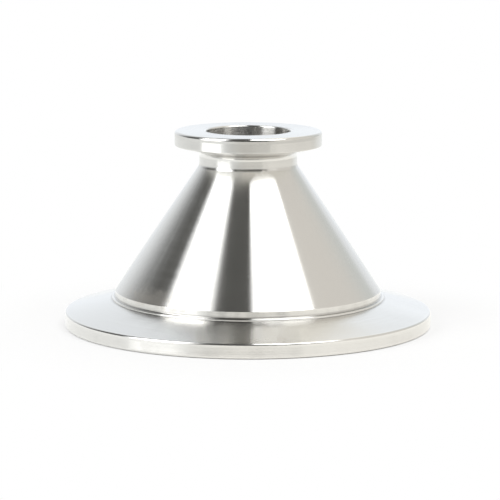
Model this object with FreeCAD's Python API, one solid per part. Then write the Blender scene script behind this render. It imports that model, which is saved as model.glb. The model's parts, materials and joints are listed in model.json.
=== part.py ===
import FreeCAD, Part
import math
import os

# Straight conical vacuum reducer with a clamping flange at each end, turned in one piece.
# The axis is +Z. The large sealing face lies in the plane z = 0 and the small one looks up.
# Lengths are in millimetres and angles in degrees. Walls and steps are measured on the radius.

# Between the two sealing faces
overall_length = 40.0

# The back of each rim tapers towards the middle of the part, where the clamp's jaws press
clamp_taper_angle = 15.0

# Large flange, with a recess for a centring ring, and the short collar behind it
large_rim_diameter = 75.0
large_rim_thickness = 3.0
large_bore_diameter = 50.0
large_recess_step = 1.1
large_recess_depth = 3.0
collar_wall = 2.25
collar_length = 1.65

# Small flange, with a recess for a centring ring, and the neck below it
small_rim_diameter = 30.0
small_rim_thickness = 3.0
throat_diameter = 16.0
small_recess_step = 0.6
small_recess_depth = 3.0
neck_wall = 2.0
neck_length = 2.7

# Cone between the collar and the neck, its wall measured square to the surface
cone_wall = 2.0

# Radii of the corners that are turned to a curve
collar_root_radius = 0.5
neck_flare_radius = 1.3
neck_head_radius = 1.2
throat_flare_radius = 2.5

# Chamfers that break the outside edges, measured along both sides of the corner
large_face_chamfer = 0.4
large_taper_chamfer = 0.3
small_face_chamfer = 0.45
small_taper_chamfer = 0.15
recess_mouth_chamfer = 0.25
bore_step_chamfer = 0.1


def sharp(radius, height):
    """A corner of the half section left as it is."""
    return FreeCAD.Vector(radius, 0, height), "sharp", 0.0


def chamfered(radius, height, setback):
    """A corner of the half section cut off straight, the same distance along both sides."""
    return FreeCAD.Vector(radius, 0, height), "chamfered", setback


def rounded(radius, height, arc_radius):
    """A corner of the half section replaced by an arc that is tangent to both sides."""
    return FreeCAD.Vector(radius, 0, height), "rounded", arc_radius


def corner_edges(before, corner, after):
    """Where one corner's own edge starts and ends on its two sides, and that edge, if it has one."""
    point, form, size = corner
    if form == "sharp":
        return point, point, []
    towards_before = (before - point).normalize()
    towards_after = (after - point).normalize()
    half_angle = towards_before.getAngle(towards_after) / 2
    setback = size / math.tan(half_angle) if form == "rounded" else size
    start = point + towards_before * setback
    end = point + towards_after * setback
    if form == "chamfered":
        return start, end, [Part.LineSegment(start, end).toShape()]
    inset = size / math.sin(half_angle) - size
    middle = point + (towards_before + towards_after).normalize() * inset
    return start, end, [Part.Arc(start, middle, end).toShape()]


def outline(corners):
    """Closed wire in the XZ plane through the corners in order, joined by straight sides."""
    eased = [
        corner_edges(corners[i - 1][0], corners[i], corners[(i + 1) % len(corners)][0])
        for i in range(len(corners))
    ]
    edges = []
    for i, (start, _, own_edges) in enumerate(eased):
        previous_end = eased[i - 1][1]
        edges.append(Part.LineSegment(previous_end, start).toShape())
        edges.extend(own_edges)
    return Part.Wire(edges)


def reducer_body():
    """The reducer: its half section turned once about the axis."""
    taper_slope = math.tan(math.radians(clamp_taper_angle))
    large_rim = large_rim_diameter / 2
    large_bore = large_bore_diameter / 2
    large_recess = large_bore + large_recess_step
    collar = large_bore + collar_wall
    small_rim = small_rim_diameter / 2
    throat = throat_diameter / 2
    small_recess = throat + small_recess_step
    neck = throat + neck_wall

    # Each flange from its sealing face to the end of its taper
    collar_root = large_rim_thickness + (large_rim - collar) * taper_slope
    small_rim_back = overall_length - small_rim_thickness
    neck_head = small_rim_back - (small_rim - neck) * taper_slope
    small_recess_floor = overall_length - small_recess_depth

    # The inner cone runs parallel to the outer one, moved in by the wall
    cone_foot = collar_root + collar_length
    cone_head = neck_head - neck_length
    cone_slope = (collar - neck) / (cone_head - cone_foot)
    wall_across = cone_wall / math.cos(math.atan(cone_slope))
    inner_foot = cone_foot + (collar - wall_across - large_bore) / cone_slope
    inner_head = cone_foot + (collar - wall_across - throat) / cone_slope

    outside = [
        chamfered(large_rim, 0, large_face_chamfer),
        chamfered(large_rim, large_rim_thickness, large_taper_chamfer),
        rounded(collar, collar_root, collar_root_radius),
        sharp(collar, cone_foot),
        rounded(neck, cone_head, neck_flare_radius),
        rounded(neck, neck_head, neck_head_radius),
        chamfered(small_rim, small_rim_back, small_taper_chamfer),
        chamfered(small_rim, overall_length, small_face_chamfer),
    ]
    inside = [
        chamfered(small_recess, overall_length, recess_mouth_chamfer),
        sharp(small_recess, small_recess_floor),
        chamfered(throat, small_recess_floor, bore_step_chamfer),
        rounded(throat, inner_head, throat_flare_radius),
        sharp(large_bore, inner_foot),
        chamfered(large_bore, large_recess_depth, bore_step_chamfer),
        sharp(large_recess, large_recess_depth),
        chamfered(large_recess, 0, recess_mouth_chamfer),
    ]
    section = Part.Face(outline(outside + inside))
    return section.revolve(FreeCAD.Vector(0, 0, 0), FreeCAD.Vector(0, 0, 1), 360)


def main():
    os.makedirs("parts", exist_ok=True)
    body = reducer_body()
    if not body.isValid():
        raise RuntimeError("the reducer is not a valid solid")
    body.exportStep("parts/reducer_body.step")
    print("reducer_body", round(body.Volume / 1000, 3), "cubic centimetres")


main()
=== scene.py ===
"""Looks of a conical vacuum reducer: one turned and polished steel piece on a pale studio table.

Everything is in metres in the frame's own axes. The reducer stands on its large sealing face at z = 0,
its axis is +Z, and azimuths are measured about it from the camera's side (-Y), positive to the right.
"""

import json
import math

import bpy
import numpy as np
from mathutils import Matrix, Vector


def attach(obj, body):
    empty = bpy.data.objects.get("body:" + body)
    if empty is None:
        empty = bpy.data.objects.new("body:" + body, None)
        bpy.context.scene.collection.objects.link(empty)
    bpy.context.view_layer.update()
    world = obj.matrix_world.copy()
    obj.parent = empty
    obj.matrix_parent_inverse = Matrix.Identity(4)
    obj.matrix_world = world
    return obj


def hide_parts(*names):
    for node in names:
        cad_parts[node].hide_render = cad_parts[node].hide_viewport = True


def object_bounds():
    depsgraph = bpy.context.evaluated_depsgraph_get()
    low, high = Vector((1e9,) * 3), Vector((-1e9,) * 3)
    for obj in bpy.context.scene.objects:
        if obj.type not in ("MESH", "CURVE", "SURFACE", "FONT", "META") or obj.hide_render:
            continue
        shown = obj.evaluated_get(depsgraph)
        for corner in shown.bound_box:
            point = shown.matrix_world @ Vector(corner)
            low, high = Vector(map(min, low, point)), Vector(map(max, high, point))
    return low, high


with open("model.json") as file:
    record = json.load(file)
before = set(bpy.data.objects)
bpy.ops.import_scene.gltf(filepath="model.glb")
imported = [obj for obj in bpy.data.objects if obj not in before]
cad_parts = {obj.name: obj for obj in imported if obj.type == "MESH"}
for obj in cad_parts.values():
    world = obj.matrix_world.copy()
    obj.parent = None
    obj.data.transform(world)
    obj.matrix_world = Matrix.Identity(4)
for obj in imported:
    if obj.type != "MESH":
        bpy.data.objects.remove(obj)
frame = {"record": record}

bl_info = {
    "name": "Conical Vacuum Reducer",
    "version": (1, 0, 0),
    "blender": (4, 5, 0),
    "location": "3D View > Sidebar > Reducer",
    "description": "Makes the visible skin of a turned vacuum reducer and a studio to show it in",
    "category": "Object",
}

MM = 0.001
CAD_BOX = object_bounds()
BODY = "root"
CAD_NODE = "reducer_body"

# Painted shade: the colour that darkens the crisp inner corners
CORNER_SHADE = (0.12, 0.115, 0.105)

WHITE = (1.0, 1.0, 1.0)
BLACK = (0.0, 0.0, 0.0)

# Finishes of the skin, in the order of its material slots
POLISHED, TURNED, FACED, BORED = range(4)


def mount_diameter(name):
    """Diameter in metres that the frame's record gives for one of its round mounts."""
    mount = next(m for m in frame["record"]["mounts"] if m["name"] == name)
    return 2 * mount["dims"]["r_mm"] * MM


def length(label, description, default):
    """A length in metres."""
    return bpy.props.FloatProperty(
        name=label, description=description, default=default, min=0.0, precision=5, unit="LENGTH"
    )


def angle(label, description, degrees):
    """An angle, given in degrees and kept in radians."""
    return bpy.props.FloatProperty(
        name=label, description=description, default=math.radians(degrees), unit="ROTATION"
    )


def share(label, description, default):
    """A share from 0 to 1."""
    return bpy.props.FloatProperty(
        name=label, description=description, default=default, min=0.0, max=1.0, subtype="FACTOR"
    )


def level(label, description, default):
    """A brightness, where 1 is white."""
    return bpy.props.FloatProperty(name=label, description=description, default=default, min=0.0)


def colour(label, description, default):
    """A linear colour."""
    return bpy.props.FloatVectorProperty(
        name=label, description=description, default=default, size=3, min=0.0, subtype="COLOR"
    )


class ReducerSizes(bpy.types.PropertyGroup):
    """Sizes of the turned piece. The rims, recesses and length come from the frame."""

    overall_length: length("Length", "Between the two sealing faces", CAD_BOX[1].z - CAD_BOX[0].z)
    large_rim: length("Large rim", "Diameter of the large rim", mount_diameter("large_rim"))
    small_rim: length("Small rim", "Diameter of the small rim", mount_diameter("small_rim"))
    large_recess: length(
        "Large recess", "Diameter of the centring recess below", mount_diameter("large_port_recess")
    )
    small_recess: length(
        "Small recess", "Diameter of the centring recess on top", mount_diameter("small_port_recess")
    )
    rim_thickness: length("Rim thickness", "Straight edge of both rims", 3.0 * MM)
    recess_depth: length("Recess depth", "Depth of both centring recesses", 3.0 * MM)
    clamp_taper: angle("Clamp taper", "Slope of the rims' backs, where a clamp presses", 15.0)
    collar: length("Collar", "Diameter of the collar behind the large rim", 54.5 * MM)
    collar_length: length("Collar length", "From the end of the taper to the cone", 1.65 * MM)
    step_width: length("Step width", "How far the narrow step at the collar's foot stands out", 0.6 * MM)
    step_height: length("Step height", "Height of the narrow step at the collar's foot", 0.42 * MM)
    step_edge: length("Step edge", "Easing of that step's outer edge", 0.2 * MM)
    neck: length("Neck", "Diameter of the neck below the small rim", 20.0 * MM)
    neck_length: length("Neck length", "From the end of the taper to the cone", 2.7 * MM)
    large_bore: length("Large bore", "Diameter of the bore inside the recess", 50.0 * MM)
    throat: length("Throat", "Diameter of the small bore", 16.0 * MM)
    cone_wall: length("Cone wall", "Thickness square to the cone", 2.0 * MM)
    collar_root: length("Collar root", "Radius between the step at its foot and the collar", 0.22 * MM)
    neck_flare: length("Neck flare", "Radius between the cone and the neck", 1.3 * MM)
    neck_head: length("Neck head", "Radius between the neck and the small taper", 1.2 * MM)
    throat_flare: length("Throat flare", "Radius between the throat and the inner cone", 2.5 * MM)
    large_face_edge: length("Large face edge", "Easing of the rim's edge on the table", 0.5 * MM)
    large_taper_edge: length("Large taper edge", "Easing of the rim's upper edge", 0.45 * MM)
    small_face_edge: length("Small face edge", "Easing of the small rim's upper edge", 0.6 * MM)
    small_taper_edge: length("Small taper edge", "Easing of the small rim's lower edge", 0.15 * MM)
    recess_edge: length("Recess edge", "Easing of both recess mouths", 0.3 * MM)
    crisp_edge: length("Crisp edge", "Easing of the edges that are left crisp", 0.08 * MM)
    edge_band: length("Edge band", "How far edge wear reaches from an eased edge", 0.5 * MM)


class ReducerFinish(bpy.types.PropertyGroup):
    """Colours and smoothness of the steel."""

    steel: colour("Steel", "Colour of the polished steel", (0.70, 0.69, 0.665))
    polish: share("Polish", "Roughness of the polished outside", 0.174)
    turning: share("Turning", "Roughness of the tapers behind the rims", 0.165)
    facing: share("Facing", "Roughness of the sealing faces", 0.14)
    boring: share("Boring", "Roughness of the bored inside", 0.235)
    smudge_side: angle("Smudge side", "Azimuth of the smudge at the cone's foot", -47.0)
    smudge_height: length("Smudge height", "Height of the smudge's middle", 8.3 * MM)
    smudge_film: share("Smudge film", "How much of the polish the smudge hides", 0.17)
    smudge_tone: colour("Smudge tone", "Colour of the steel under the smudge", (0.66, 0.635, 0.59))


class StudioSettings(bpy.types.PropertyGroup):
    """Camera, lamps, cards, table and room."""

    camera_distance: length("Camera distance", "In front of the axis", 558.5 * MM)
    camera_height: length("Camera height", "Above the table", 105.66 * MM)
    camera_side: length("Camera side", "To the right of the axis", 0.404 * MM)
    camera_pitch: angle("Camera pitch", "Downwards from level", 9.189)
    camera_roll: angle("Camera roll", "Anticlockwise, seen from behind the camera", 0.135)
    focal_length: bpy.props.FloatProperty(
        name="Focal length", description="For a sensor 36 mm wide, in millimetres",
        default=198.8, min=1.0, subtype="DISTANCE_CAMERA",
    )
    room: colour("Room", "Tone of the pale studio in mirrors", (0.94, 0.97, 1.0))
    ambient: level("Ambient", "Brightness of the studio as plain light on matt surfaces", 0.6)
    table: colour("Table", "Colour of the table", (0.9, 0.9, 0.9))
    # Painted light on the table in mirrors: brighter near the part, dimmer further out, warmer in front and
    # on the right
    table_cool_light: colour("Table cool side", "Tone in mirrors, left and behind", (1.2, 1.217, 1.207))
    table_warm_light: colour("Table warm side", "Tone in mirrors, in front and right", (1.257, 1.24, 1.18))
    warm_light_side: angle("Warm side", "Azimuth of the middle of the table's warm side", 55.0)
    cool_falloff: share("Cool falloff", "Level of the far table against the near, left and behind", 0.75)
    warm_falloff: share("Warm falloff", "Level of the far table against the near, front and right", 0.535)
    falloff_start: length("Falloff start", "Radius where the table begins to dim in mirrors", 0.12)
    falloff_end: length("Falloff end", "Radius where the table has its far level", 0.4)
    # Painted shadow round the foot, shifted behind the part: there the table's glow gives way to its matt
    # shading
    table_shade: share("Table shade", "How strongly the table shows the part's shadow", 0.35)
    shade_shift: length("Shade shift", "How far the shadow lies behind the part", 2.5 * MM)
    dark_card: colour("Dark card", "Tone of the dark cards", (0.115, 0.115, 0.11))
    warm_card: colour("Warm card", "Tone of the warm cards", (0.86, 0.83, 0.785))
    cool_card: colour("Cool card", "Tone of the grey card beside the warm one", (0.74, 0.765, 0.75))
    bore_card: colour("Bore card", "Tone of the bright card that the bore mirrors", (1.35, 1.33, 1.27))
    back_card: colour("Back card", "Tone of the pale card behind", (1.03, 1.075, 1.13))
    bright_card: colour("Bright card", "Tone of the card behind on the right", (1.115, 1.165, 1.225))
    overhead_card: colour("Overhead card", "Tone of the cream card overhead", (1.09, 1.06, 0.98))
    softbox_level: level("Softbox level", "Brightness of both softboxes", 2.5)


def eased_outline(corners, easing, band, steps):
    """Points, outward normals and edge nearness of a closed outline whose corners are arcs.

    The outline has its solid on the left. A side has a direction angle, and at a corner the tangent's angle
    runs evenly from the side before to the side after. The outward normal is the tangent turned a quarter
    to the right, and an arc's point is its centre plus the easing radius times that normal, or minus it
    in an inner corner. One more point lies before each arc and one after it, a band away, or a third of the
    straight side where that is less. The nearness is 0 at those points. On an outer corner's arc it is 1,
    and on an inner corner's arc it is -1, times the square of the band over the radius where the arc is
    broader than the band.
    """
    side = np.roll(corners, -1, axis=0) - corners
    reach = np.hypot(side[:, 0], side[:, 1])
    after = np.arctan2(side[:, 1], side[:, 0])
    before = np.roll(after, 1)
    turn = (after - before + np.pi) % (2 * np.pi) - np.pi
    bend = np.sign(turn)
    setback = easing * np.tan(np.abs(turn) / 2)
    straight = reach - setback - np.roll(setback, -1)
    gap_after = np.minimum(band, straight / 3)
    gap_before = np.roll(gap_after, 1)

    tangent = before[:, None] + turn[:, None] * np.linspace(0.0, 1.0, steps + 1)
    normals = np.stack([np.sin(tangent), -np.cos(tangent)], axis=-1)
    along_before = np.stack([np.cos(before), np.sin(before)], axis=-1)
    along_after = np.stack([np.cos(after), np.sin(after)], axis=-1)
    start = corners - setback[:, None] * along_before
    centre = start - (bend * easing)[:, None] * normals[:, 0]
    arc = centre[:, None] + (bend * easing)[:, None, None] * normals
    first = arc[:, :1] - gap_before[:, None, None] * along_before[:, None]
    last = arc[:, -1:] + gap_after[:, None, None] * along_after[:, None]

    points = np.concatenate([first, arc, last], axis=1)
    normals = np.concatenate([normals[:, :1], normals, normals[:, -1:]], axis=1)
    nearness = np.zeros(points.shape[:2])
    nearness[:, 1:-1] = (bend * np.minimum(1.0, band / easing) ** 2)[:, None]
    return points.reshape(-1, 2), normals.reshape(-1, 2), nearness.ravel()


def section(sizes):
    """Corners of the half section as rows of radius and height, their easing radii and their finishes.

    The corners run up the outside and down the inside. A finish holds for a corner and the side after it.
    """
    slope = math.tan(sizes.clamp_taper)
    large_rim, small_rim = sizes.large_rim / 2, sizes.small_rim / 2
    collar, neck = sizes.collar / 2, sizes.neck / 2
    bore, throat = sizes.large_bore / 2, sizes.throat / 2
    large_recess, small_recess = sizes.large_recess / 2, sizes.small_recess / 2
    top = sizes.overall_length

    taper_foot = sizes.rim_thickness
    collar_foot = taper_foot + (large_rim - collar) * slope
    cone_foot = collar_foot + sizes.collar_length
    step = collar + sizes.step_width
    step_foot = collar_foot - sizes.step_width * slope
    step_top = step_foot + sizes.step_height
    rim_back = top - sizes.rim_thickness
    neck_head = rim_back - (small_rim - neck) * slope
    cone_head = neck_head - sizes.neck_length

    # The inner cone runs parallel to the outer one, moved in by the wall
    cone_slope = (collar - neck) / (cone_head - cone_foot)
    wall_across = sizes.cone_wall * math.hypot(1.0, cone_slope)
    inner_foot = cone_foot + (collar - wall_across - bore) / cone_slope
    inner_head = cone_foot + (collar - wall_across - throat) / cone_slope

    crisp = sizes.crisp_edge
    rows = [
        (large_rim, 0.0, sizes.large_face_edge, POLISHED),
        (large_rim, taper_foot, sizes.large_taper_edge, TURNED),
        (step, step_foot, crisp, POLISHED),
        (step, step_top, sizes.step_edge, POLISHED),
        (collar, step_top, sizes.collar_root, POLISHED),
        (collar, cone_foot, crisp, POLISHED),
        (neck, cone_head, sizes.neck_flare, POLISHED),
        (neck, neck_head, sizes.neck_head, TURNED),
        (small_rim, rim_back, sizes.small_taper_edge, POLISHED),
        (small_rim, top, sizes.small_face_edge, FACED),
        (small_recess, top, sizes.recess_edge, BORED),
        (small_recess, top - sizes.recess_depth, crisp, BORED),
        (throat, top - sizes.recess_depth, crisp, BORED),
        (throat, inner_head, sizes.throat_flare, BORED),
        (bore, inner_foot, crisp, BORED),
        (bore, sizes.recess_depth, crisp, BORED),
        (large_recess, sizes.recess_depth, crisp, BORED),
        (large_recess, 0.0, sizes.recess_edge, FACED),
    ]
    columns = np.array(rows)
    return columns[:, :2], columns[:, 2], columns[:, 3].astype(int)


def grid_faces(rows, columns, rows_wrap, columns_wrap):
    """Four-sided faces of a grid of points numbered row by row, each joining two neighbours both ways."""
    row, column = np.meshgrid(
        np.arange(rows if rows_wrap else rows - 1),
        np.arange(columns if columns_wrap else columns - 1),
        indexing="ij",
    )
    next_row, next_column = (row + 1) % rows, (column + 1) % columns
    corners = [
        row * columns + column,
        row * columns + next_column,
        next_row * columns + next_column,
        next_row * columns + column,
    ]
    return np.stack(corners, axis=-1).reshape(-1, 4)


def mesh_object(name, points, faces):
    """A smooth-shaded mesh object at the origin, linked to the scene."""
    mesh = bpy.data.meshes.new(name)
    mesh.from_pydata(points, [], faces)
    mesh.polygons.foreach_set("use_smooth", np.ones(len(faces), dtype=bool))
    made = bpy.data.objects.new(name, mesh)
    bpy.context.scene.collection.objects.link(made)
    return made


def set_attribute(mesh, name, values):
    """Keeps one number for each point of a mesh, for its material to read."""
    attribute = mesh.attributes.new(name, "FLOAT", "POINT")
    attribute.data.foreach_set("value", values.astype(np.float32))


def turned_skin(name, outline, normals, nearness, finishes, sectors):
    """The outline turned once about +Z into one closed skin with exact normals.

    Point (i, j) is outline point i at the angle a = 2 pi j / sectors: x = r cos a, y = r sin a, z = z.
    Its normal is the outline's normal turned by the same angle. Both counts wrap round.
    """
    turn = np.linspace(0.0, 2 * np.pi, sectors, endpoint=False)
    cosine, sine = np.cos(turn), np.sin(turn)

    def turned(flat):
        across, up = flat.T
        return np.stack(
            [np.outer(across, cosine), np.outer(across, sine), np.repeat(up[:, None], sectors, axis=1)],
            axis=-1,
        ).reshape(-1, 3)

    made = mesh_object(name, turned(outline), grid_faces(len(outline), sectors, True, True))
    mesh = made.data
    mesh.polygons.foreach_set("material_index", np.repeat(finishes, sectors).astype(np.int32))
    set_attribute(mesh, "edge", np.repeat(nearness, sectors))
    mesh.normals_split_custom_set_from_vertices(turned(normals))
    return made


def add_node(tree, kind, inputs=None, **settings):
    """Adds a node to a tree. An input is linked where its value is a socket, and set otherwise."""
    made = tree.nodes.new(kind)
    for name, value in settings.items():
        setattr(made, name, value)
    for key, value in (inputs or {}).items():
        if isinstance(value, bpy.types.NodeSocket):
            tree.links.new(value, made.inputs[key])
        else:
            made.inputs[key].default_value = value
    return made


def calculate(tree, operation, first, second=0.0):
    """Output of a Math node."""
    return add_node(tree, "ShaderNodeMath", {0: first, 1: second}, operation=operation).outputs[0]


def vector_math(tree, operation, inputs, output="Vector"):
    """Vector or value that a Vector Math node puts out."""
    return add_node(tree, "ShaderNodeVectorMath", inputs, operation=operation).outputs[output]


def combine(tree, x, y, z=0.0):
    """Vector of three numbers."""
    return add_node(tree, "ShaderNodeCombineXYZ", {0: x, 1: y, 2: z}).outputs[0]


def noise_value(tree, inputs, **settings):
    """Value of a Noise Texture node."""
    return add_node(tree, "ShaderNodeTexNoise", inputs, **settings).outputs[0]


def remap(tree, value, from_low, from_high, to_low=0.0, to_high=1.0):
    """Output of a clamped Map Range node with smooth ends."""
    node = add_node(
        tree, "ShaderNodeMapRange",
        {"Value": value, "From Min": from_low, "From Max": from_high, "To Min": to_low, "To Max": to_high},
        interpolation_type="SMOOTHSTEP",
    )
    return node.outputs["Result"]


# Numbers of the Mix node's sockets for colours
MIX_FIRST, MIX_SECOND, MIX_RESULT = 6, 7, 2


def mix_colour(tree, factor, first, second):
    """Output of a Mix node for colours."""
    mixed = add_node(tree, "ShaderNodeMix", {"Factor": factor}, data_type="RGBA")
    for key, value in ((MIX_FIRST, first), (MIX_SECOND, second)):
        if isinstance(value, bpy.types.NodeSocket):
            tree.links.new(value, mixed.inputs[key])
        else:
            mixed.inputs[key].default_value = (*value, 1.0)
    return mixed.outputs[MIX_RESULT]


def object_place(tree):
    """Place of the shaded point in Object coordinates."""
    return add_node(tree, "ShaderNodeTexCoord").outputs["Object"]


def about_axis(tree, place):
    """Where a place lies about the axis: its direction from the axis, its radius and its height."""
    across = vector_math(tree, "MULTIPLY", {0: place, 1: (1, 1, 0)})
    heading = vector_math(tree, "NORMALIZE", {0: across})
    radius = vector_math(tree, "LENGTH", {0: across}, "Value")
    height = add_node(tree, "ShaderNodeSeparateXYZ", {0: place}).outputs["Z"]
    return heading, radius, height


def wrapped_place(tree, heading, stretch, third):
    """Place in a noise texture: the direction from the axis times a stretch, and a third coordinate."""
    stretched = vector_math(tree, "SCALE", {0: heading, "Scale": stretch})
    parts = add_node(tree, "ShaderNodeSeparateXYZ", {0: stretched}).outputs
    return combine(tree, parts["X"], parts["Y"], third)


def new_group(name, inputs, outputs):
    """An empty shader node group with number sockets, with its given values and its results to be filled."""
    group = bpy.data.node_groups.new(name, "ShaderNodeTree")
    for socket, default in inputs.items():
        made = group.interface.new_socket(socket, in_out="INPUT", socket_type="NodeSocketFloat")
        made.default_value = default
    for socket in outputs:
        group.interface.new_socket(socket, in_out="OUTPUT", socket_type="NodeSocketFloat")
    return group, add_node(group, "NodeGroupInput").outputs, add_node(group, "NodeGroupOutput").inputs


# Nearly all values of a noise texture lie between these two
NOISE_LOW, NOISE_HIGH = 0.3, 0.7


def tool_rings_group():
    """Marks of a tool that went round the axis: a value for each ring, which changes slowly along it.

    Radius and height, both divided by the pitch, pick the ring. The direction from the axis, times the
    drift, moves the value along the ring.
    """
    group, given, result = new_group("tool rings", {"Pitch": 0.2 * MM, "Drift": 1.0}, ["Rings"])
    heading, radius, height = about_axis(group, object_place(group))
    ring = calculate(group, "DIVIDE", radius, given["Pitch"])
    storey = calculate(group, "DIVIDE", height, given["Pitch"])
    spot = wrapped_place(group, heading, given["Drift"], ring)
    rings = noise_value(
        group, {"Vector": spot, "W": storey, "Scale": 1.0, "Detail": 2.0, "Roughness": 0.6},
        noise_dimensions="4D",
    )
    group.links.new(rings, result["Rings"])
    return group


def handling_group():
    """Faint film from handling and wiping: 0 where the surface is clean and 1 where it is dullest.

    The direction from the axis, times the turn, and the sum of radius and height, divided by the patch,
    place the film. That sum changes slowly down the cone, so the film runs along it in streaks.
    """
    group, given, result = new_group("handling film", {"Patch": 9.0 * MM, "Turn": 2.5}, ["Film"])
    heading, radius, height = about_axis(group, object_place(group))
    along = calculate(group, "DIVIDE", calculate(group, "ADD", radius, height), given["Patch"])
    spot = wrapped_place(group, heading, given["Turn"], along)
    noise = noise_value(group, {"Vector": spot, "Scale": 1.0, "Detail": 3.0, "Roughness": 0.6})
    clean, dullest = 0.42, 0.75
    group.links.new(remap(group, noise, clean, dullest), result["Film"])
    return group


def wear_and_corner_shade_group():
    """Wear of the outer edges and painted shade in the crisp inner corners: both 0 on the sides between.

    The wear is 1 on an eased outer edge, broken up by noise, and fades out towards the sides. The painted
    corner shade is 1 in the corner itself.
    """
    group, given, result = new_group("edge wear", {"Grain": 0.6 * MM}, ["Wear", "Dirt"])
    nearness = add_node(group, "ShaderNodeAttribute", attribute_name="edge").outputs["Fac"]
    scale = calculate(group, "DIVIDE", 1.0, given["Grain"])
    noise = noise_value(group, {"Vector": object_place(group), "Scale": scale, "Detail": 4.0})
    least_wear, wear_begins = 0.35, 0.25
    broken = remap(group, noise, NOISE_LOW, NOISE_HIGH, least_wear, 1.0)
    outer = remap(group, nearness, wear_begins, 1.0)
    group.links.new(calculate(group, "MULTIPLY", outer, broken), result["Wear"])
    # Painted shade: 1 in a crisp inner corner, whose colour is darkened
    inner = calculate(group, "MULTIPLY", nearness, -1.0)
    group.links.new(remap(group, inner, 0.0, 1.0), result["Dirt"])
    return group


def smudge_group():
    """A smudge on one side of the part: 1 in the middle of a patch, falling to 0 round its ragged edge.

    The chord between the headings of the point and of the patch is divided by the patch's reach, and the
    height above its middle by its rise. The root of the sum of their squares is 1 on the patch's edge, and
    noise moves that edge in and out.
    """
    inputs = {"Azimuth": 0.0, "Height": 0.0, "Reach": 0.34, "Rise": 2.4 * MM}
    group, given, result = new_group("smudge", inputs, ["Smudge"])
    place = object_place(group)
    heading, _, height = about_axis(group, place)
    sine = calculate(group, "SINE", given["Azimuth"])
    cosine = calculate(group, "COSINE", given["Azimuth"])
    patch_heading = combine(group, sine, calculate(group, "MULTIPLY", cosine, -1.0))
    chord = vector_math(group, "DISTANCE", {0: heading, 1: patch_heading}, "Value")
    above = calculate(group, "SUBTRACT", height, given["Height"])
    from_middle = combine(
        group,
        calculate(group, "DIVIDE", chord, given["Reach"]),
        calculate(group, "DIVIDE", above, given["Rise"]),
    )
    smooth = vector_math(group, "LENGTH", {0: from_middle}, "Value")
    blots_per_metre, raggedness = 900.0, 1.8
    noise = noise_value(group, {"Vector": place, "Scale": blots_per_metre, "Detail": 4.0})
    uneven = calculate(group, "MULTIPLY", calculate(group, "SUBTRACT", noise, 0.5), raggedness)
    ragged = calculate(group, "ADD", smooth, uneven)
    full_within, gone_beyond = 0.1, 1.25
    group.links.new(remap(group, ragged, full_within, gone_beyond, 1.0, 0.0), result["Smudge"])
    return group


# How far marks change a steel's tone: worn edges, broad rings and painted shade in the corners
WORN_TONE = 1.05
BROAD_TONE = 0.5
CORNER_SHADE_COVER = 0.35

# How far they change its roughness, as shares of it: rings up and down, film up and worn edges down
RING_ROUGHNESS = 0.15
FILM_ROUGHNESS = 0.35
WORN_ROUGHNESS = 0.2

# Broad rings against the fine ones: their pitch and their height
BROAD_PITCH = 7.0
BROAD_HEIGHT = 0.6


def steel_material(name, steel, groups, roughness, pitch, depth, anisotropy, ring_tone, film=None):
    """Turned stainless steel, whose tone and smoothness vary with tool rings, film and worn edges.

    The pitch and the depth are those of the fine rings, and the darkest of these keep the share of the
    steel's tone that the ring tone says. The film holds values for its group that differ from its own.
    """
    material = bpy.data.materials.new(name)
    material.use_nodes = True
    tree = material.node_tree
    shader = tree.nodes["Principled BSDF"]
    rings_group, film_group, wear_and_shade_group = groups
    fine_inputs = {"Pitch": pitch, "Drift": 0.8}
    broad_inputs = {"Pitch": pitch * BROAD_PITCH, "Drift": 0.5}
    fine = add_node(tree, "ShaderNodeGroup", fine_inputs, node_tree=rings_group).outputs["Rings"]
    broad = add_node(tree, "ShaderNodeGroup", broad_inputs, node_tree=rings_group).outputs["Rings"]
    haze = add_node(tree, "ShaderNodeGroup", film, node_tree=film_group).outputs["Film"]
    edges = add_node(tree, "ShaderNodeGroup", node_tree=wear_and_shade_group).outputs

    # Tone: rings darken a little, worn edges are brighter and inner corners are darkened by painted shade
    pale = tuple(min(1.0, channel * WORN_TONE) for channel in steel)
    deep = tuple(channel * ring_tone for channel in steel)
    ringed = mix_colour(tree, fine, deep, steel)
    banded = mix_colour(tree, calculate(tree, "MULTIPLY", broad, BROAD_TONE), ringed, steel)
    worn = mix_colour(tree, edges["Wear"], banded, pale)
    # Painted shade darkens the colour in the crisp inner corners
    corner_shaded = mix_colour(tree, calculate(tree, "MULTIPLY", edges["Dirt"], CORNER_SHADE_COVER), worn, CORNER_SHADE)
    tree.links.new(corner_shaded, shader.inputs["Base Color"])

    # Smoothness: each ring has its own, the film adds to it and worn edges are smoother
    smoothest, roughest = roughness * (1 - RING_ROUGHNESS), roughness * (1 + RING_ROUGHNESS)
    ring_roughness = remap(tree, fine, NOISE_LOW, NOISE_HIGH, smoothest, roughest)
    added = calculate(tree, "MULTIPLY", haze, roughness * FILM_ROUGHNESS)
    rubbed = calculate(tree, "MULTIPLY", edges["Wear"], roughness * WORN_ROUGHNESS)
    filmed = calculate(tree, "ADD", ring_roughness, added)
    tree.links.new(calculate(tree, "SUBTRACT", filmed, rubbed), shader.inputs["Roughness"])

    # Relief of the rings
    relief = calculate(tree, "ADD", fine, calculate(tree, "MULTIPLY", broad, BROAD_HEIGHT))
    bump = add_node(tree, "ShaderNodeBump", {"Strength": 1.0, "Distance": depth, "Height": relief})
    tree.links.new(bump.outputs["Normal"], shader.inputs["Normal"])

    # Reflections are drawn out across the rings, a quarter turn from the tangent that runs round the axis
    quarter_turn = 0.25
    shader.inputs["Metallic"].default_value = 1.0
    shader.inputs["Anisotropic"].default_value = anisotropy
    shader.inputs["Anisotropic Rotation"].default_value = quarter_turn
    tangent = add_node(tree, "ShaderNodeTangent", direction_type="RADIAL", axis="Z")
    tree.links.new(tangent.outputs[0], shader.inputs["Tangent"])
    return material


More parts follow.
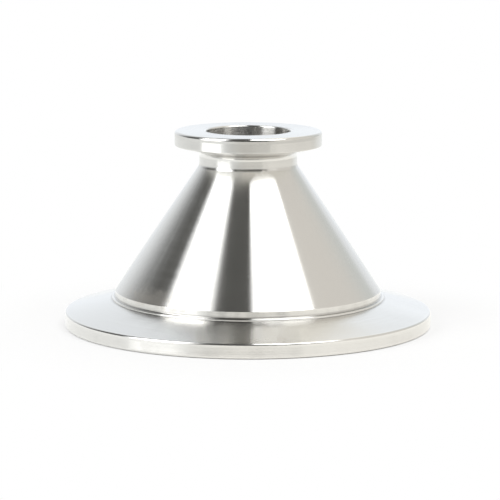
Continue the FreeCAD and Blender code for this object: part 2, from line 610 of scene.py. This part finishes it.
def add_smudge(material, finish):
    """Puts a smudge on a steel material. Its film hides some of the polish and has a tone of its own."""
    tree = material.node_tree
    shader = tree.nodes["Principled BSDF"]
    place = {"Azimuth": finish.smudge_side, "Height": finish.smudge_height}
    smudge = add_node(tree, "ShaderNodeGroup", place, node_tree=smudge_group()).outputs["Smudge"]
    clean = shader.inputs["Base Color"].links[0].from_socket
    smudged = mix_colour(tree, smudge, clean, tuple(finish.smudge_tone))
    tree.links.new(smudged, shader.inputs["Base Color"])
    hidden = calculate(tree, "MULTIPLY", smudge, finish.smudge_film)
    tree.links.new(calculate(tree, "SUBTRACT", 1.0, hidden), shader.inputs["Metallic"])


def round_about(azimuth, elevation):
    """Unit direction from the part, from an azimuth and an elevation in degrees."""
    turn, rise = np.radians(azimuth), np.radians(elevation)
    return np.stack([np.cos(rise) * np.sin(turn), -np.cos(rise) * np.cos(turn), np.sin(rise)], axis=-1)


def over_the_top(sideways, climb):
    """Unit direction from the part: degrees to the right, and degrees up from the front and over the top."""
    across, rise = np.radians(sideways), np.radians(climb)
    return np.stack([np.sin(across), -np.cos(across) * np.cos(rise), np.cos(across) * np.sin(rise)], axis=-1)


# Cards round the part for the steel to mirror. A row holds a card's name, its tone in the settings, the kind
# of its directions, its left and right side, its rise, its fades and its distance in metres. A side has an
# angle at the low end of the rise and one at the high end. The fades are those of the left, right, low and
# high edge. All angles are in degrees. Where cards overlap, the nearer one hides the one behind it.
CARDS = (
    ("front_card", "dark_card", round_about, (-41, -45), (33.5, 33.5), (0, 43), (12, 0, 0, 3), 1.1),
    ("wing_card", "dark_card", round_about, (33, 33), (46, 46), (8, 24), (0, 0, 2, 2), 1.1),
    ("top_card", "dark_card", over_the_top, (-37.6, -8), (2.2, 2.2), (38, 128), (12, 0, 2, 4), 1.05),
    ("crown_card", "dark_card", over_the_top, (-17, -17), (-7.5, -7.5), (96, 130), (3.5, 2, 3, 3), 1.1),
    ("corner_card", "dark_card", over_the_top, (2, 2), (22, 2.2), (38, 59), (0, 2, 2, 0), 1.05),
    ("side_card", "dark_card", round_about, (-153, -153), (-79.5, -97), (4, 70), (47, 0, 2, 8), 1.1),
    ("warm_card", "warm_card", round_about, (80, 80), (140, 140), (0, 60), (0, 30, 0, 8), 1.1),
    ("cool_card", "cool_card", round_about, (80, 80), (150, 150), (0, 60), (0, 12, 0, 8), 1.15),
    ("low_card", "warm_card", round_about, (33.5, 33.5), (81, 81), (0, 42), (0, 0, 0, 4), 1.15),
    ("bore_card", "bore_card", round_about, (48, 48), (74, 74), (8, 22), (5, 5, 5, 6), 1.1),
    ("low_corner_card", "warm_card", round_about, (58, 80), (81, 81), (39, 52), (4, 0, 0, 2), 1.18),
    ("back_card", "back_card", round_about, (150, 150), (210, 210), (0, 50), (20, 20, 0, 15), 1.2),
    ("overhead_card", "overhead_card", over_the_top, (3, 3), (32, 32), (98, 150), (3, 10, 2, 15), 1.1),
    ("bright_card", "bright_card", round_about, (160, 160), (179, 179), (5, 46), (6, 4, 9, 12), 1.16),
)


def card_material(name, tone):
    """A studio card that shows its own tone and lets light through along its fading edges."""
    material = bpy.data.materials.new(name)
    material.use_nodes = True
    tree = material.node_tree
    tree.nodes.clear()
    fade = add_node(tree, "ShaderNodeAttribute", attribute_name="fade").outputs["Fac"]
    clear = add_node(tree, "ShaderNodeBsdfTransparent")
    glow = add_node(tree, "ShaderNodeEmission", {"Color": (*tone, 1.0), "Strength": 1.0})
    mixed = add_node(tree, "ShaderNodeMixShader", {0: fade, 1: clear.outputs[0], 2: glow.outputs[0]})
    output = add_node(tree, "ShaderNodeOutputMaterial")
    tree.links.new(mixed.outputs[0], output.inputs["Surface"])
    return material


def card(name, tone, direction, left, right, rise, fades, distance):
    """A curved card round the part, a patch of a sphere, hidden from the camera.

    Point (u, v) lies at the given distance in the direction of two angles. The second angle is v of the way
    up the rise. The first one is u of the way from left to right, which both run evenly from their low-end
    to their high-end value. The fade grows from 0 at an edge to 1 over a number of degrees, with smooth
    steps, for the left, right, low and high edge in turn, and the card shows the least of the four. An edge
    with no degrees is sharp.
    """
    columns, rows = 129, 65
    u, v = np.meshgrid(np.linspace(0, 1, columns), np.linspace(0, 1, rows))
    low, high = left[0] + (left[1] - left[0]) * v, right[0] + (right[1] - right[0]) * v
    across, up = low + (high - low) * u, rise[0] + (rise[1] - rise[0]) * v
    points = distance * direction(across, up)
    made = mesh_object(name, points.reshape(-1, 3), grid_faces(rows, columns, False, False))

    gaps = np.stack([across - low, high - across, up - rise[0], rise[1] - up])
    reach = np.array(fades, dtype=float)[:, None, None]
    shown = np.divide(gaps, reach, out=np.ones_like(gaps), where=reach > 0)
    least = np.clip(shown, 0, 1).min(axis=0)
    set_attribute(made.data, "fade", (least * least * (3 - 2 * least)).ravel())
    made.data.materials.append(card_material(name, tone))
    made.visible_camera = False


def light_path_shown(tree):
    """1 for the rays that show a background: from the camera, or by a mirror or through glass."""
    path = add_node(tree, "ShaderNodeLightPath").outputs
    mirrored = calculate(tree, "MAXIMUM", path["Is Glossy Ray"], path["Is Transmission Ray"])
    return calculate(tree, "MAXIMUM", path["Is Camera Ray"], mirrored)


def table_material(studio, foot):
    """White table that glows where it is seen or mirrored, and takes shadow.

    The glow stops at the radius of the foot that stands on it, so that no light comes from under the part,
    and the ramp where it fades in is a painted contact shade round the foot.
    In mirrors the table shows painted light: it is dimmer further out, and warmer in front and on the right
    than elsewhere.
    """
    material = bpy.data.materials.new("pale table")
    material.use_nodes = True
    tree = material.node_tree
    tree.nodes.clear()
    place = object_place(tree)
    radius = vector_math(tree, "LENGTH", {0: place}, "Value")
    path = add_node(tree, "ShaderNodeLightPath").outputs

    # Matt surface, a little uneven
    white = tuple(studio.table)
    dull = tuple(0.97 * channel for channel in white)
    noise = noise_value(tree, {"Vector": place, "Scale": 6.0, "Detail": 3.0})
    matt = add_node(tree, "ShaderNodeBsdfDiffuse", {"Color": mix_colour(tree, noise, white, dull)})

    # Glow: white to the camera, and in mirrors painted light, a tone that depends on the side and on the
    # distance
    warm_light_side = tuple(round_about(math.degrees(studio.warm_light_side), 0.0))
    heading = vector_math(tree, "NORMALIZE", {0: place})
    towards_warm = vector_math(tree, "DOT_PRODUCT", {0: heading, 1: warm_light_side}, "Value")
    wholly_warm_cosine = 0.55
    warmth = remap(tree, towards_warm, 0.0, wholly_warm_cosine)
    falloff = remap(tree, warmth, 0.0, 1.0, studio.cool_falloff, studio.warm_falloff)
    far_level = remap(tree, radius, studio.falloff_start, studio.falloff_end, 1.0, falloff)
    near_tone = mix_colour(tree, warmth, tuple(studio.table_cool_light), tuple(studio.table_warm_light))
    mirrored_tone = mix_colour(tree, far_level, BLACK, near_tone)
    glow_tone = mix_colour(tree, path["Is Camera Ray"], mirrored_tone, WHITE)
    glow = add_node(tree, "ShaderNodeEmission", {"Color": glow_tone, "Strength": 1.0})

    # How much of the glow shows: none under the foot, a painted contact shade along its edge, and less in a
    # painted shadow round the foot, shifted behind it, where the matt table's own shading shows through
    # Painted contact shade: the glow fades in from just inside the foot to just outside it, so a dark line
    # lies round the foot
    glow_begins, glow_full, shade_ends = foot - 0.45 * MM, foot + 0.15 * MM, 1.8 * foot
    outside = remap(tree, radius, glow_begins, glow_full)
    shade_middle = (0.0, studio.shade_shift, 0.0)
    from_shade = vector_math(tree, "DISTANCE", {0: place, 1: shade_middle}, "Value")
    plain = remap(tree, from_shade, foot, shade_ends, 1.0 - studio.table_shade, 1.0)
    amount = calculate(tree, "MULTIPLY", light_path_shown(tree), calculate(tree, "MULTIPLY", outside, plain))
    lit = add_node(tree, "ShaderNodeMixShader", {0: amount, 1: matt.outputs[0], 2: glow.outputs[0]})

    output = add_node(tree, "ShaderNodeOutputMaterial")
    tree.links.new(lit.outputs[0], output.inputs["Surface"])
    return material


def softbox(name, place, facing, width, height, brightness):
    """A rectangular lamp at a place, square to the line from a point that it faces.

    Its power is pi times its area times the brightness that it shows where it is mirrored.
    """
    lamp = bpy.data.lights.new(name, "AREA")
    lamp.shape = "RECTANGLE"
    lamp.size = width
    lamp.size_y = height
    lamp.energy = math.pi * width * height * brightness
    made = bpy.data.objects.new(name, lamp)
    backwards = Vector(place) - Vector(facing)
    made.matrix_world = Matrix.Translation(place) @ backwards.to_track_quat("Z", "Y").to_matrix().to_4x4()
    made.visible_camera = False
    bpy.context.scene.collection.objects.link(made)


class REDUCER_OT_body(bpy.types.Operator):
    """Turn the reducer's visible skin and give it its steel finishes"""

    bl_idname = "reducer.body"
    bl_label = "Reducer Body"
    bl_options = {"REGISTER", "UNDO"}

    # Steps of each corner's arc, and sectors round the axis
    ARC_STEPS = 7
    SECTORS = 448

    def execute(self, context):
        sizes, finish = context.scene.reducer_sizes, context.scene.reducer_finish
        corners, easing, finishes = section(sizes)
        outline, normals, nearness = eased_outline(corners, easing, sizes.edge_band, self.ARC_STEPS)
        points_per_corner = len(outline) // len(corners)
        skin = turned_skin(
            "reducer_skin", outline, normals, nearness, np.repeat(finishes, points_per_corner), self.SECTORS
        )
        for material in self.make_steels(finish):
            skin.data.materials.append(material)
        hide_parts(CAD_NODE)
        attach(skin, BODY)
        return {"FINISHED"}

    def make_steels(self, finish):
        """The four steel finishes, in the order of the skin's material slots."""
        steel = tuple(finish.steel)
        groups = (tool_rings_group(), handling_group(), wear_and_corner_shade_group())
        polished = steel_material(
            "polished steel", steel, groups, roughness=finish.polish, pitch=0.16 * MM, depth=0.0006 * MM,
            anisotropy=1.0, ring_tone=0.985, film={"Patch": 16.0 * MM, "Turn": 9.0},
        )
        add_smudge(polished, finish)
        turned = steel_material(
            "turned steel", steel, groups, roughness=finish.turning, pitch=0.18 * MM, depth=0.0006 * MM,
            anisotropy=0.93, ring_tone=0.98,
        )
        faced = steel_material(
            "faced steel", steel, groups, roughness=finish.facing, pitch=0.2 * MM, depth=0.0015 * MM,
            anisotropy=0.6, ring_tone=0.97,
        )
        bored = steel_material(
            "bored steel", steel, groups, roughness=finish.boring, pitch=0.25 * MM, depth=0.0015 * MM,
            anisotropy=1.0, ring_tone=0.95,
        )
        return polished, turned, faced, bored


class REDUCER_OT_studio(bpy.types.Operator):
    """Set up the camera, lamps, cards and table"""

    bl_idname = "reducer.studio"
    bl_label = "Studio"
    bl_options = {"REGISTER", "UNDO"}

    def execute(self, context):
        scene, studio = context.scene, context.scene.reducer_studio
        self.make_camera(scene, studio)
        self.make_table(studio, scene.reducer_sizes.large_rim / 2)
        self.make_room(scene, studio)
        self.make_cards(studio)
        self.make_lamps(studio)
        scene.view_settings.view_transform = "Standard"
        return {"FINISHED"}

    def make_camera(self, scene, studio):
        """The camera stands in front, a little above the part, and looks slightly down at it."""
        lens = bpy.data.cameras.new("camera")
        lens.lens = studio.focal_length
        lens.sensor_width = 36.0
        lens.clip_start = 0.01
        camera = bpy.data.objects.new("camera", lens)
        scene.collection.objects.link(camera)
        place = Matrix.Translation((studio.camera_side, -studio.camera_distance, studio.camera_height))
        tilt = Matrix.Rotation(math.pi / 2 - studio.camera_pitch, 4, "X")
        roll = Matrix.Rotation(studio.camera_roll, 4, "Z")
        camera.matrix_world = place @ tilt @ roll
        scene.camera = camera

    def make_table(self, studio, foot):
        """Round table: point (i, j) lies at ring radius i and angle j, just under the sealing face.

        The first ring is the middle itself and the next lies just inside the foot. The others follow in
        equal ratios out to the table's edge.
        """
        rings, sectors, table_radius = 40, 96, 4.0
        radius = np.concatenate([[0.0], np.geomspace(0.96 * foot, table_radius, rings)])
        turn = np.linspace(0.0, 2 * np.pi, sectors, endpoint=False)
        below = 0.02 * MM
        height = np.full((len(radius), sectors), -below)
        points = np.stack(
            [np.outer(radius, np.cos(turn)), np.outer(radius, np.sin(turn)), height], axis=-1
        )
        faces = grid_faces(len(radius), sectors, False, True)[:, ::-1]
        table = mesh_object("table", points.reshape(-1, 3), faces)
        table.data.materials.append(table_material(studio, foot))

    def make_room(self, scene, studio):
        """Pale room all round: white to the camera, its own tone in mirrors, and dimmer as plain light."""
        world = bpy.data.worlds.new("room")
        world.use_nodes = True
        scene.world = world
        tree = world.node_tree
        path = add_node(tree, "ShaderNodeLightPath").outputs
        ambient = (studio.ambient,) * 3
        mirrored = mix_colour(tree, light_path_shown(tree), ambient, tuple(studio.room))
        shown = mix_colour(tree, path["Is Camera Ray"], mirrored, WHITE)
        background = tree.nodes["Background"]
        tree.links.new(shown, background.inputs["Color"])
        background.inputs["Strength"].default_value = 1.0

    def make_cards(self, studio):
        """The listed cards, each in its tone.

        The dark ones lie in front, over the top and on the left, the warm and grey ones on the right, and
        the pale ones behind and overhead. The bore mirrors a bright one.
        """
        for name, tone, direction, left, right, rise, fades, distance in CARDS:
            card(name, tuple(getattr(studio, tone)), direction, left, right, rise, fades, distance)

    def make_lamps(self, studio):
        """A tall softbox on the left and a wide one over the right, in front, facing down."""
        brightness = studio.softbox_level
        left = 1.5 * round_about(-60, 33)
        softbox("left_softbox", left, facing=(0, 0, 0), width=1.03, height=1.9, brightness=brightness)
        over, below = (0.6, -0.8, 1.5), (0.6, -0.8, 0)
        softbox("right_softbox", over, facing=below, width=1.65, height=1.9, brightness=brightness)


class REDUCER_PT_panel(bpy.types.Panel):
    """Lists the reducer's operators and settings"""

    bl_idname = "REDUCER_PT_panel"
    bl_label = "Vacuum Reducer"
    bl_space_type = "VIEW_3D"
    bl_region_type = "UI"
    bl_category = "Reducer"

    def draw(self, context):
        layout = self.layout
        layout.operator(REDUCER_OT_body.bl_idname)
        layout.operator(REDUCER_OT_studio.bl_idname)
        scene = context.scene
        for group in (scene.reducer_sizes, scene.reducer_finish, scene.reducer_studio):
            box = layout.box()
            for name in group.__annotations__:
                box.prop(group, name)


CLASSES = (
    ReducerSizes,
    ReducerFinish,
    StudioSettings,
    REDUCER_OT_body,
    REDUCER_OT_studio,
    REDUCER_PT_panel,
)


def register():
    for cls in CLASSES:
        bpy.utils.register_class(cls)
    bpy.types.Scene.reducer_sizes = bpy.props.PointerProperty(type=ReducerSizes)
    bpy.types.Scene.reducer_finish = bpy.props.PointerProperty(type=ReducerFinish)
    bpy.types.Scene.reducer_studio = bpy.props.PointerProperty(type=StudioSettings)


def unregister():
    del bpy.types.Scene.reducer_studio
    del bpy.types.Scene.reducer_finish
    del bpy.types.Scene.reducer_sizes
    for cls in reversed(CLASSES):
        bpy.utils.unregister_class(cls)


def main():
    """Makes the reducer and its studio."""
    register()
    bpy.ops.reducer.body()
    bpy.ops.reducer.studio()


if __name__ == "__main__":
    main()
